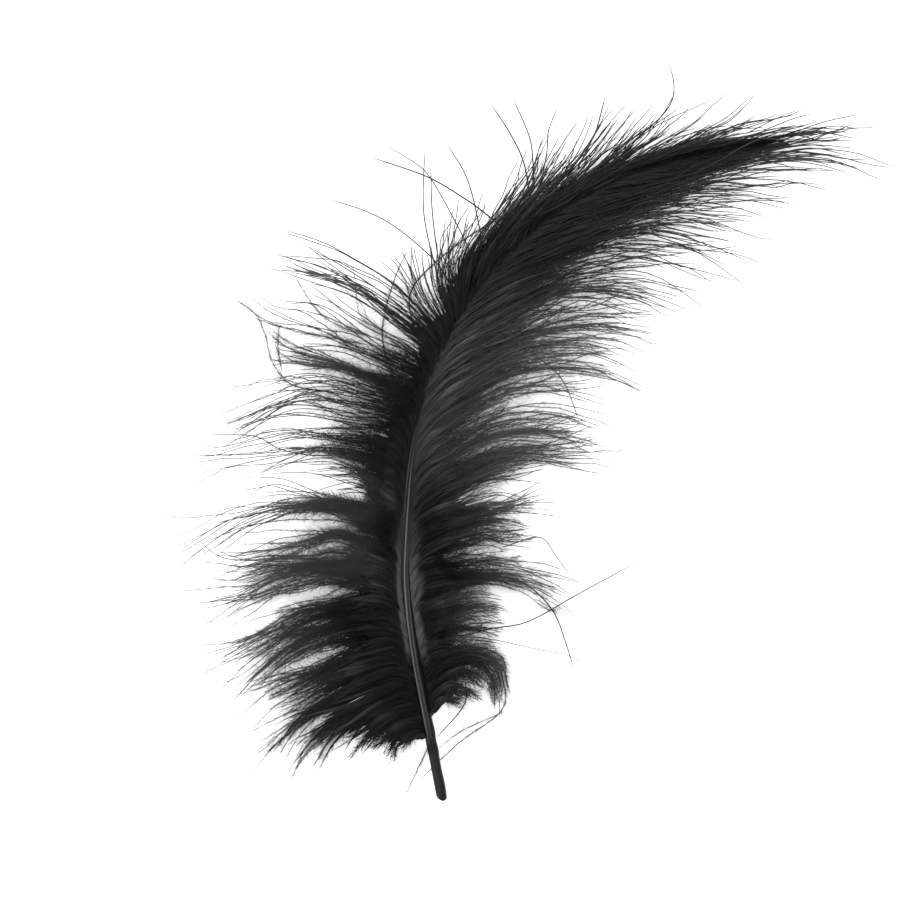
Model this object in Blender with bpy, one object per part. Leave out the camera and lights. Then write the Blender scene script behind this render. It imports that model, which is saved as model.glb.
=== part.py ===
"""A black marabou feather, lying on a flat surface with the grooved side of its shaft up.

One grown piece: a bare quill end, the shaft that runs on from it, and the locks of down along
both sides of the shaft. The row frame has +Z up, the quill end towards -Y, the feather's tip
towards +X and +Y, and its origin on the surface below the middle of the feather.
"""

import math

import bmesh
import bpy
from mathutils import Vector

MM = 0.001

# The middle line of the shaft from the quill's cut end to the tip, seen from above, in mm
SHAFT_LINE = [
    (-12.8, -58.4),
    (-15.9, -42.0),
    (-18.4, -26.0),
    (-18.5, -15.0),
    (-17.3, -1.0),
    (-13.5, 12.0),
    (-6.0, 24.5),
    (5.0, 35.0),
    (20.0, 42.5),
    (42.0, 47.4),
]
# Height of that line over the surface, and the shaft's radius, by distance from the cut end, in mm
SHAFT_HEIGHTS = [(0, 0.7), (8, 0.78), (32, 4.0), (75, 5.0), (115, 4.4), (150, 3.4)]
SHAFT_RADII = [(0, 0.8), (8, 0.88), (35, 0.84), (48, 0.6), (62, 0.42), (90, 0.3), (150, 0.14)]
SHAFT_STEP = 3.5
SPANS_PER_POINT = 24
CUT_END_BEVEL_SIDES = 3

# The locks of down. Each is (distance of its root from the cut end, the point it passes halfway,
# its tip), seen from above, in mm
LEFT_LOCKS = [
    (12.5, (-19.0, -47.4), (-21.5, -52.0)),
    (14.5, (-23.0, -46.0), (-28.5, -50.6)),
    (16.5, (-26.0, -44.8), (-34.5, -54.0)),
    (18.5, (-29.0, -42.0), (-42.0, -53.0)),
    (21.0, (-28.5, -38.5), (-39.5, -45.0)),
    (24.0, (-31.0, -35.3), (-45.5, -43.5)),
    (27.0, (-31.5, -31.0), (-43.5, -38.0)),
    (30.0, (-32.5, -26.8), (-49.5, -37.3)),
    (33.5, (-33.5, -22.3), (-49.8, -26.0)),
    (37.0, (-33.0, -17.6), (-48.5, -22.5)),
    (41.0, (-34.5, -12.0), (-57.0, -19.0)),
    (44.5, (-34.0, -9.3), (-55.0, -15.8)),
    (49.5, (-31.0, -3.0), (-42.0, -5.2)),
    (53.0, (-32.5, -0.6), (-54.0, -5.6)),
    (56.5, (-31.5, 3.2), (-49.0, -0.4)),
    (60.0, (-31.0, 7.4), (-49.0, 3.8)),
    (63.5, (-28.0, 11.0), (-41.5, 11.5)),
    (67.0, (-28.0, 15.0), (-45.5, 21.0)),
    (71.0, (-24.0, 20.5), (-37.0, 28.0)),
    (75.0, (-20.0, 23.0), (-38.0, 33.0)),
    (72.5, (-15.2, 27.0), (-15.3, 44.5)),
    (77.5, (-10.0, 30.0), (-4.5, 44.0)),
    (82.5, (-3.9, 34.4), (4.0, 47.4)),
    (87.5, (1.4, 38.0), (11.0, 50.2)),
    (92.5, (6.4, 40.9), (17.0, 53.2)),
    (98.5, (11.8, 43.3), (26.5, 52.4)),
    (105.5, (18.6, 46.0), (34.0, 51.8)),
    (113.5, (26.2, 48.2), (41.2, 52.0)),
    (121.5, (34.0, 49.4), (46.5, 51.8)),
    (129.0, (40.5, 49.4), (50.5, 51.0)),
]
RIGHT_LOCKS = [
    (14.5, (-11.4, -40.8), (-7.0, -42.0)),
    (18.0, (-8.6, -36.2), (-3.6, -43.6)),
    (21.5, (-8.4, -33.6), (-2.2, -37.5)),
    (25.0, (-9.5, -29.8), (-2.5, -31.2)),
    (28.5, (-8.0, -25.8), (-1.5, -27.5)),
    (32.0, (-5.5, -22.0), (8.0, -23.6)),
    (35.5, (-5.5, -18.6), (8.5, -21.6)),
    (38.5, (-6.5, -14.4), (3.0, -15.8)),
    (42.0, (-7.5, -11.0), (4.5, -9.6)),
    (45.5, (-7.5, -6.6), (4.0, -4.6)),
    (49.0, (-5.0, -2.4), (13.0, -1.8)),
    (52.5, (-3.0, 2.0), (12.5, 0.9)),
    (56.0, (-2.0, 6.2), (15.0, 4.0)),
    (59.5, (-1.0, 10.4), (18.5, 8.4)),
    (63.0, (1.0, 14.3), (18.0, 12.6)),
    (66.5, (3.0, 18.4), (24.5, 14.6)),
    (70.0, (4.0, 21.6), (22.5, 19.4)),
    (73.5, (5.5, 24.6), (24.0, 23.4)),
    (77.5, (8.0, 27.8), (28.5, 26.2)),
    (82.0, (11.5, 31.0), (34.5, 29.2)),
    (87.0, (15.5, 34.2), (36.5, 32.6)),
    (92.5, (19.5, 37.2), (39.5, 36.6)),
    (99.0, (24.5, 40.2), (47.0, 40.0)),
    (107.0, (30.0, 42.8), (50.5, 42.4)),
    (116.0, (36.5, 45.0), (56.0, 44.2)),
    (126.0, (44.0, 47.0), (57.0, 47.4)),
    (134.0, (48.0, 48.6), (56.2, 49.8)),
]
# Single long strands that stand out beyond the locks, given in the same way
STRAY_STRANDS = [
    (96.0, (16.0, 45.6), (23.3, 59.4)),
    (27.0, (-2.0, -30.4), (18.4, -20.3)),
    (33.0, (0.0, -23.0), (8.2, -36.8)),
]
# The locks take these postures in turn: (height of the tip, how far the middle is arched up).
# Every fourth one sags and lies along the surface
LOCK_POSTURES = [(0.3, -1.3), (6.6, 1.6), (3.0, 0.8), (8.2, 1.5)]
LOCK_RINGS = 7
LOCK_SIDES = 8
LOCK_WIDTHS = [(0.0, 0.7), (0.17, 1.7), (0.42, 2.1), (0.7, 1.4), (0.87, 0.75), (1.0, 0.2)]
LOCK_FLATNESS = 0.55
NARROW_FROM = 80.0
NARROW_SHARE = 0.72
STRAND_SHARE = 0.3
STRAND_POSTURE = (4.5, 1.0)


def between(stations, at):
    """Straight interpolation in a list of (place, value)."""
    for (near, low), (far, high) in zip(stations, stations[1:]):
        if at <= far:
            share = max(0.0, (at - near) / (far - near))
            return low + (high - low) * share
    return stations[-1][1]


def smooth_line(points):
    """A smooth curve through the points, as many short steps."""
    first = points[0] * 2 - points[1]
    last = points[-1] * 2 - points[-2]
    knots = [first, *points, last]
    line = []
    for a, b, c, d in zip(knots, knots[1:], knots[2:], knots[3:]):
        for step in range(SPANS_PER_POINT):
            t = step / SPANS_PER_POINT
            line.append(
                0.5
                * (
                    2 * b
                    + (c - a) * t
                    + (2 * a - 5 * b + 4 * c - d) * t**2
                    + (3 * b - a - 3 * c + d) * t**3
                )
            )
    line.append(points[-1].copy())
    return line


def measured(line):
    """The line's points, each with its distance from the start."""
    distance = 0.0
    found = [(0.0, line[0])]
    for here, there in zip(line, line[1:]):
        distance += (there - here).length
        found.append((distance, there))
    return found


SHAFT = measured(smooth_line([Vector((x, y, 0.0)) for x, y in SHAFT_LINE]))
SHAFT_LENGTH = SHAFT[-1][0]


def on_shaft(distance):
    """The point of the shaft's middle line at this distance from the cut end."""
    place = Vector(between(SHAFT, distance))
    place.z = between(SHAFT_HEIGHTS, distance)
    return place


def material(name, colour, roughness):
    made = bpy.data.materials.new(name)
    made.use_nodes = True
    shader = made.node_tree.nodes["Principled BSDF"]
    shader.inputs["Base Color"].default_value = (*colour, 1.0)
    shader.inputs["Roughness"].default_value = roughness
    shader.inputs["Metallic"].default_value = 0.0
    return made


def collection(name):
    made = bpy.data.collections.new(name)
    bpy.context.scene.collection.children.link(made)
    return made


def as_solid(curve_object, group):
    """The curve object as a mesh with its caps sewn on."""
    bpy.context.view_layer.update()
    shape = curve_object.evaluated_get(bpy.context.evaluated_depsgraph_get())
    mesh = bpy.data.meshes.new_from_object(shape)
    work = bmesh.new()
    work.from_mesh(mesh)
    bmesh.ops.remove_doubles(work, verts=work.verts, dist=1e-6)
    bmesh.ops.recalc_face_normals(work, faces=work.faces)
    work.to_mesh(mesh)
    work.free()
    name, place = curve_object.name, curve_object.matrix_world.copy()
    bpy.data.objects.remove(curve_object)
    solid = bpy.data.objects.new(name, mesh)
    solid.matrix_world = place
    group.objects.link(solid)
    return solid


def tube(name, points, radii, sides, group):
    """A closed tube along points in metres, with a radius at each of them."""
    data = bpy.data.curves.new(name, "CURVE")
    data.dimensions = "3D"
    data.bevel_depth = 1.0
    data.bevel_resolution = sides // 2 - 2
    data.use_fill_caps = True
    data.twist_mode = "Z_UP"
    line = data.splines.new("POLY")
    line.points.add(len(points) - 1)
    for knot, place, radius in zip(line.points, points, radii):
        knot.co = (*place, 1.0)
        knot.radius = radius
    made = bpy.data.objects.new(name, data)
    group.objects.link(made)
    return as_solid(made, group)


def shaft(group):
    """The quill and shaft: a round tapering rod along the shaft's line."""
    count = round(SHAFT_LENGTH / SHAFT_STEP)
    stations = [SHAFT_LENGTH * k / count for k in range(count + 1)]
    return tube(
        "feather",
        [on_shaft(s) * MM for s in stations],
        [between(SHAFT_RADII, s) * MM for s in stations],
        2 * (CUT_END_BEVEL_SIDES + 2),
        group,
    )


def lock_line(root, middle, tip, posture):
    """Points from the shaft to a lock's tip: a bow through its middle point."""
    height, arch = posture
    start = on_shaft(root)
    end = Vector((*tip, height))
    through = Vector((*middle, 0.5 * (start.z + height) + arch))
    pull = through * 2 - (start + end) / 2
    line = []
    for ring in range(LOCK_RINGS):
        u = ring / (LOCK_RINGS - 1)
        line.append(start * (1 - u) ** 2 + pull * 2 * u * (1 - u) + end * u**2)
    return line


def lock(name, root, middle, tip, posture, slim, group):
    """One flattened, pointed lock of down. It is made as a round horn, taller than it should
    be, and pressed down to the lock's flatness."""
    line = lock_line(root, middle, tip, posture)
    tall = [Vector((p.x, p.y, p.z / LOCK_FLATNESS)) * MM for p in line]
    widths = [
        between(LOCK_WIDTHS, ring / (LOCK_RINGS - 1)) * slim * MM
        for ring in range(LOCK_RINGS)
    ]
    made = tube(name, tall, widths, LOCK_SIDES, group)
    for corner in made.data.vertices:
        corner.co.z *= LOCK_FLATNESS
    return made


def table_cutter(group):
    """A block whose top is the surface that the feather lies on. It flattens the lowest locks."""
    side, depth = 200 * MM, 20 * MM
    bpy.ops.mesh.primitive_cube_add(size=1.0, location=(0.0, 0.0, -depth / 2))
    block = bpy.context.active_object
    block.name = "table_cutter"
    block.scale = (side, side, depth)
    bpy.ops.object.transform_apply(location=False, rotation=False, scale=True)
    for owner in block.users_collection:
        owner.objects.unlink(block)
    group.objects.link(block)
    return block


def combine(body, operation, other=None, group=None):
    """Puts a Boolean on body, with one object or with a whole collection."""
    step = body.modifiers.new(operation.lower(), "BOOLEAN")
    step.operation = operation
    step.solver = "EXACT"
    if group is None:
        step.object = other
    else:
        step.operand_type = "COLLECTION"
        step.collection = group


def main():
    for old in list(bpy.data.objects):
        bpy.data.objects.remove(old)
    finished = collection("marabou_feather")
    cutters = collection("cutters")
    feather = shaft(finished)
    feather.data.materials.append(material("black_down", (0.014, 0.014, 0.016), 0.75))
    locks = collection("locks")
    for side, rows in (("left", LEFT_LOCKS), ("right", RIGHT_LOCKS)):
        for number, (root, middle, tip) in enumerate(rows):
            posture = LOCK_POSTURES[number % len(LOCK_POSTURES)]
            slim = NARROW_SHARE if root > NARROW_FROM else 1.0
            lock(f"{side}_lock_{number + 1}", root, middle, tip, posture, slim, locks)
    for number, (root, middle, tip) in enumerate(STRAY_STRANDS):
        name = f"strand_{number + 1}"
        lock(name, root, middle, tip, STRAND_POSTURE, STRAND_SHARE, locks)
    for made in locks.objects:
        made.hide_render = True
        made.display_type = "WIRE"
    combine(feather, "UNION", group=locks)
    block = table_cutter(cutters)
    block.hide_render = True
    block.display_type = "WIRE"
    combine(feather, "DIFFERENCE", other=block)


main()
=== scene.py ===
import math

import bmesh
import bpy
import numpy as np
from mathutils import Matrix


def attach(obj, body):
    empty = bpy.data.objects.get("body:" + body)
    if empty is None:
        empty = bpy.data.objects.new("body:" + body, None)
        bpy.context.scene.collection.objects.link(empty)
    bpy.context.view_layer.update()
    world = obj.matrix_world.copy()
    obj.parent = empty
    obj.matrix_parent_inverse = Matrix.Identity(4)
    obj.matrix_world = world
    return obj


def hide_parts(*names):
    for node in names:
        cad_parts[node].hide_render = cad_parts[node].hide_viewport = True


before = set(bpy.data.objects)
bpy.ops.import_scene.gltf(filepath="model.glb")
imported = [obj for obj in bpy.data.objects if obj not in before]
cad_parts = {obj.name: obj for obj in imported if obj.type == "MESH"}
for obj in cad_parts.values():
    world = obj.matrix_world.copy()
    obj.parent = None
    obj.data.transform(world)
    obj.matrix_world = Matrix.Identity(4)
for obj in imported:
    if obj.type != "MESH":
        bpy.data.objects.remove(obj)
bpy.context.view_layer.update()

MM = 0.001


# The shaft: one rod of black horn, bare at the quill end, where it is hollow and was cut
# slanting. Its underside faces up, so a groove between two ridges runs along it, and it tapers
# to a hair at the tip. Everything else grows out of its two sides.

# Its middle line from the cut end to the tip, seen from above
SHAFT_LINE = [
    (-12.78, -58.7),
    (-15.85, -42.0),
    (-18.4, -26.0),
    (-18.5, -15.0),
    (-17.3, -1.0),
    (-13.5, 12.0),
    (-6.0, 24.5),
    (5.0, 35.0),
    (20.0, 42.5),
    (42.0, 47.4),
]
# Height of the middle line and radius of the rod, by distance from the cut end
SHAFT_HEIGHTS = [(0, 0.92), (8, 0.98), (32, 4.0), (75, 5.0), (115, 4.4), (150, 3.4)]
SHAFT_RADII = [(0, 0.82), (12, 0.82), (35, 0.76), (48, 0.55), (62, 0.4), (90, 0.3), (150, 0.1)]
SHAFT_RING_GAP = 0.8
SHAFT_SIDES = 32
# Its grooves, one that dies out where the next begins: (turn from the top, depth), by distance
GROOVES = (
    ([(9, 5), (16, 14), (22, 21), (26, 12), (32, 0)], [(9, 0), (14, 0.25), (26, 0.2), (31, 0)]),
    ([(26, 62), (33, 47), (39, 33), (46, 32), (51, 22), (60, 12)], [(27, 0), (31, 0.3), (150, 0.3)]),
)
# In degrees round the rod: a groove's width, and how many widths off its ridges stand
GROOVE_WIDTH, RIDGE_OFFSET, RIDGE_HEIGHT = 11.0, 2, 0.3
# Scars of plucked barbs and a nick: (distance, degrees round from the top, swelling, size)
SHAFT_SCARS = [
    (2.4, -84.0, 0.13, 1.9),
    (8.2, -80.0, 0.17, 0.9),
    (8.9, 82.0, 0.1, 1.1),
    (11.4, -70.0, 0.17, 1.1),
    (41.9, -12.0, -0.25, 0.5),
    (42.7, -20.0, 0.25, 0.45),
]
# How far round the rod a scar reaches, in degrees for each millimetre of its size
SCAR_DEGREES = 42
# The cut slants to the left and is worn to a blunt point, over this length
CUT_SLANT, CUT_POINT, CUT_LENGTH = 0.3, 0.55, 3.0
HOLLOW_WALL, HOLLOW_DEPTH = 0.26, 2.4
# The shaft's direction at a place is taken over this length of it
AXIS_SPAN = 1.0
UP = np.array([0.0, 0.0, 1.0])


def at(stations, places):
    """Straight interpolation in a list of (place, value), for one place or an array of them."""
    return np.interp(places, [s[0] for s in stations], [s[1] for s in stations])


def unit(vectors):
    """The same directions with a length of one."""
    return vectors / np.maximum(np.linalg.norm(vectors, axis=-1, keepdims=True), 1e-9)


def smooth_line(points, spans=24):
    """A smooth curve through the points, as many short steps."""
    points = np.array(points, float)
    knots = np.vstack([2 * points[0] - points[1], points, 2 * points[-1] - points[-2]])
    t = np.linspace(0, 1, spans, endpoint=False)[:, None]
    pieces = [
        0.5
        * (
            2 * b
            + (c - a) * t
            + (2 * a - 5 * b + 4 * c - d) * t**2
            + (3 * b - a - 3 * c + d) * t**3
        )
        for a, b, c, d in zip(knots, knots[1:], knots[2:], knots[3:])
    ]
    return np.vstack([*pieces, points[-1:]])


def travelled(line):
    """How far along a line each of its points lies."""
    return np.concatenate([[0], np.cumsum(np.linalg.norm(np.diff(line, axis=0), axis=1))])


shaft_line = smooth_line(SHAFT_LINE)
shaft_places = travelled(shaft_line)
SHAFT_LENGTH = shaft_places[-1]


def on_shaft(distance):
    """Points of the shaft's middle line at these distances from the cut end."""
    x = np.interp(distance, shaft_places, shaft_line[:, 0])
    y = np.interp(distance, shaft_places, shaft_line[:, 1])
    return np.stack([x, y, at(SHAFT_HEIGHTS, distance)], axis=-1)


def shaft_axes(distance):
    """Directions at these distances: along the shaft, to its left, and up."""
    near = np.clip(np.asarray(distance, float) - AXIS_SPAN / 2, 0, SHAFT_LENGTH - AXIS_SPAN)
    along = unit(on_shaft(near + AXIS_SPAN) - on_shaft(near))
    left = unit(np.cross(UP, along))
    return along, left, np.cross(along, left)


def shaft_radius(distance, degrees):
    """The rod's radius at one distance, at angles round from its top (left is positive)."""
    swelling = 1.0
    for turns, depths in GROOVES:
        turned = (degrees - at(turns, distance)) / GROOVE_WIDTH
        ridges = RIDGE_HEIGHT * np.exp(-((np.abs(turned) - RIDGE_OFFSET) ** 2))
        swelling = swelling + at(depths, distance) * (ridges - np.exp(-(turned**2)))
    for place, side, height, size in SHAFT_SCARS:
        away = np.hypot((distance - place) / size, (degrees - side) / (SCAR_DEGREES * size))
        swelling = swelling + height * np.exp(-(away**2))
    return at(SHAFT_RADII, distance) * swelling


def grow_shaft():
    """Rings along the middle line, bridged one to the next, the cut end hollowed."""
    shape = bmesh.new()
    ring_tag = shape.verts.layers.int.new("ring")
    side_tag = shape.verts.layers.int.new("side")
    count = round(SHAFT_LENGTH / SHAFT_RING_GAP)
    degrees = 360 * np.arange(SHAFT_SIDES) / SHAFT_SIDES - 180
    leftward = np.sin(np.radians(degrees))[:, None]
    upward = np.cos(np.radians(degrees))[:, None]
    last_edges = None
    for number in range(count + 1):
        distance = SHAFT_LENGTH * number / count
        along, left, up = shaft_axes(distance)
        reach = shaft_radius(distance, degrees)[:, None]
        places = on_shaft(distance) + reach * (leftward * left + upward * up)
        worn = CUT_SLANT * leftward + CUT_POINT * leftward**2
        places = places + max(0.0, 1 - distance / CUT_LENGTH) * worn * along
        ring = bmesh.ops.create_circle(shape, segments=SHAFT_SIDES, radius=1.0)["verts"]
        for side, (corner, place) in enumerate(zip(ring, places)):
            corner.co = place * MM
            corner[ring_tag] = number
            corner[side_tag] = side
        edges = list({edge for corner in ring for edge in corner.link_edges})
        if last_edges:
            bmesh.ops.bridge_loops(shape, edges=last_edges + edges)
        else:
            mouth = bmesh.ops.contextual_create(shape, geom=edges)["faces"]
        last_edges = edges
    bmesh.ops.contextual_create(shape, geom=last_edges)
    bmesh.ops.inset_region(shape, faces=mouth, thickness=HOLLOW_WALL * MM)
    floor_of_hollow = bmesh.ops.extrude_discrete_faces(shape, faces=mouth)["faces"]
    inward = shaft_axes(0.0)[0] * HOLLOW_DEPTH * MM
    bmesh.ops.translate(shape, verts=floor_of_hollow[0].verts, vec=inward)
    bmesh.ops.recalc_face_normals(shape, faces=shape.faces)
    # The pattern's map: the first way runs along the rod, the second round it
    chart = shape.loops.layers.uv.new("OFBake")
    for face in shape.faces:
        sides = [loop.vert[side_tag] for loop in face.loops]
        crosses = max(sides) - min(sides) > SHAFT_SIDES / 2
        for loop, side in zip(face.loops, sides):
            round_it = side + (SHAFT_SIDES if crosses and side < SHAFT_SIDES / 2 else 0)
            loop[chart].uv = (loop.vert[ring_tag] / count, round_it / SHAFT_SIDES)
        face.smooth = True
    mesh = bpy.data.meshes.new("shaft")
    shape.to_mesh(mesh)
    shape.free()
    return mesh


def put_in_scene(name, mesh, material):
    """A piece of the feather: it lies where the solid lies and stands in for it."""
    piece = bpy.data.objects.new(name, mesh)
    bpy.context.scene.collection.objects.link(piece)
    mesh.materials.append(material)
    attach(piece, "root")
    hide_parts("feather")


# The sockets of a Mix node that mixes colours, which share their names with others
MIX_AMOUNT, MIX_UNDER, MIX_OVER, MIX_RESULT = 0, 6, 7, 2


class Finish:
    """A node material with short calls to add and join its nodes."""

    def __init__(self, name):
        self.material = bpy.data.materials.new(name)
        self.material.use_nodes = True
        self.tree = self.material.node_tree
        self.shader = self.tree.nodes["Principled BSDF"]

    def node(self, kind, **values):
        """A new node with these inputs or settings."""
        made = self.tree.nodes.new(kind)
        for key, value in values.items():
            if key in made.inputs:
                made.inputs[key].default_value = value
            else:
                setattr(made, key, value)
        return made

    def join(self, source, output, target, entry):
        """A link from one node's output to another's input."""
        self.tree.links.new(source.outputs[output], target.inputs[entry])

    def chart(self, stretch):
        """The piece's own map, stretched along and across."""
        chart = self.node("ShaderNodeUVMap", uv_map="OFBake")
        mapping = self.node("ShaderNodeMapping")
        mapping.inputs["Scale"].default_value = (*stretch, 1.0)
        self.join(chart, "UV", mapping, "Vector")
        return mapping

    def noise(self, stretch, detail):
        """Streaks in that map."""
        made = self.node("ShaderNodeTexNoise", Scale=1.0, Detail=detail)
        self.join(self.chart(stretch), "Vector", made, "Vector")
        return made

    def tones(self, source, output, stops):
        """A ramp of colours, as (place, colour)."""
        ramp = self.node("ShaderNodeValToRGB")
        for number, (place, colour) in enumerate(stops):
            # A new ramp has two stops already
            stop = ramp.color_ramp.elements[number] if number < 2 else None
            stop = stop or ramp.color_ramp.elements.new(place)
            stop.position = place
            stop.color = (*colour, 1.0)
        self.join(source, output, ramp, "Fac")
        return ramp

    def amounts(self, source, output, stops):
        """A ramp of plain numbers, as (place, amount)."""
        return self.tones(source, output, [(place, (much, much, much)) for place, much in stops])

    def mix(self, amount, under, over):
        """A colour laid over another. The first two are outputs, over is one or a fixed colour."""
        made = self.node("ShaderNodeMix", data_type="RGBA")
        self.tree.links.new(amount, made.inputs[MIX_AMOUNT])
        self.tree.links.new(under, made.inputs[MIX_UNDER])
        if isinstance(over, tuple):
            made.inputs[MIX_OVER].default_value = (*over, 1.0)
        else:
            self.tree.links.new(over, made.inputs[MIX_OVER])
        return made.outputs[MIX_RESULT]

    def roughness(self, source, smoothest, roughest):
        """The shader's roughness follows a noise between the two."""
        spread = self.node("ShaderNodeMapRange", **{"To Min": smoothest, "To Max": roughest})
        self.join(source, "Fac", spread, "Value")
        self.join(spread, "Result", self.shader, "Roughness")


# Painted highlights and painted shade round the rod, from right to left over its top, brightest at
# 0.5: (turn, grey)
RIDGE_PAINTED_HIGHLIGHTS = [
    (0.0, 0.004), (0.29, 0.005), (0.34, 0.008), (0.38, 0.06), (0.417, 0.02), (0.439, 0.009),
    (0.469, 0.04), (0.5, 0.15), (0.528, 0.035), (0.556, 0.005), (0.606, 0.003), (0.639, 0.006),
    (0.667, 0.06), (0.708, 0.02), (0.75, 0.006),
]
# The painted highlights wind about it: (share of the shaft's length, the brightest one's turn from the
# underside)
PAINTED_HIGHLIGHT_WINDS = [
    (0.0, 0.556), (0.1, 0.586), (0.135, 0.611), (0.155, 0.625), (0.19, 0.594), (0.21, 0.575),
    (0.235, 0.539), (0.257, 0.536), (0.28, 0.514), (0.327, 0.486), (0.363, 0.453), (0.4, 0.417),
]
# How much the painted highlights show along it, from the cut end to where the down closes over it
PAINTED_HIGHLIGHTS_SHOW = [
    (0.0, 0.1), (0.025, 0.15), (0.06, 0.2), (0.075, 0.45), (0.09, 0.7), (0.14, 0.9), (0.3, 1.0),
    (0.37, 0.85), (0.41, 0.35), (0.46, 0.05),
]
# The plain horn under them, from line to line, and its shine
HORN_TONES = [(0.3, (0.004, 0.004, 0.0045)), (0.72, (0.015, 0.0145, 0.015))]
HORN_ROUGHNESS, SHINE = (0.3, 0.55), 0.14
# The fine lines: how often they change along the rod and round it, how fine, their height in metres
LINE_STRETCH, LINE_DETAIL = (5.0, 26.0), 4.0
LINE_HEIGHT, LINE_STRENGTH = 0.00006, 0.35
# The same of its rougher and smoother patches
PATCH_STRETCH, PATCH_DETAIL = (60.0, 6.0), 3.0


def horn_finish():
    """Dyed horn: nearly black, darkest in the groove, with fine long lines. The grey lines on the
    ridges are painted highlights, the dark in the groove painted shade.
    """
    horn = Finish("black_horn")
    split = horn.node("ShaderNodeSeparateXYZ")
    horn.join(horn.chart((1.0, 1.0)), "Vector", split, "Vector")
    turned = horn.node("ShaderNodeMath", operation="SUBTRACT")
    horn.join(split, "Y", turned, 0)
    horn.join(horn.amounts(split, "X", PAINTED_HIGHLIGHT_WINDS), "Color", turned, 1)
    centred = horn.node("ShaderNodeMath", operation="ADD")
    horn.join(turned, 0, centred, 0)
    centred.inputs[1].default_value = 0.5
    # ridges holds the painted highlights and painted shade round the rod, wound along it
    ridges = horn.amounts(centred, 0, RIDGE_PAINTED_HIGHLIGHTS)
    highlights_shown = horn.amounts(split, "X", PAINTED_HIGHLIGHTS_SHOW)
    lines = horn.noise(LINE_STRETCH, LINE_DETAIL)
    plain = horn.tones(lines, "Fac", HORN_TONES)
    colour = horn.mix(highlights_shown.outputs["Color"], plain.outputs["Color"], ridges.outputs["Color"])
    horn.tree.links.new(colour, horn.shader.inputs["Base Color"])
    horn.roughness(horn.noise(PATCH_STRETCH, PATCH_DETAIL), *HORN_ROUGHNESS)
    horn.shader.inputs["Specular IOR Level"].default_value = SHINE
    bump = horn.node("ShaderNodeBump", Strength=LINE_STRENGTH, Distance=LINE_HEIGHT)
    horn.join(lines, "Fac", bump, "Height")
    horn.join(bump, "Normal", horn.shader, "Normal")
    return horn.material


put_in_scene("shaft", grow_shaft(), horn_finish())


# The down: some nine hundred long barbs and over twice as many short ones, hairs that taper from
# the shaft to the tip with fine fluff on both sides, longest near the shaft. Neighbours cling
# together in pointed locks, so the vane is dense by the shaft and breaks up into wisps at the edge.

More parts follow.
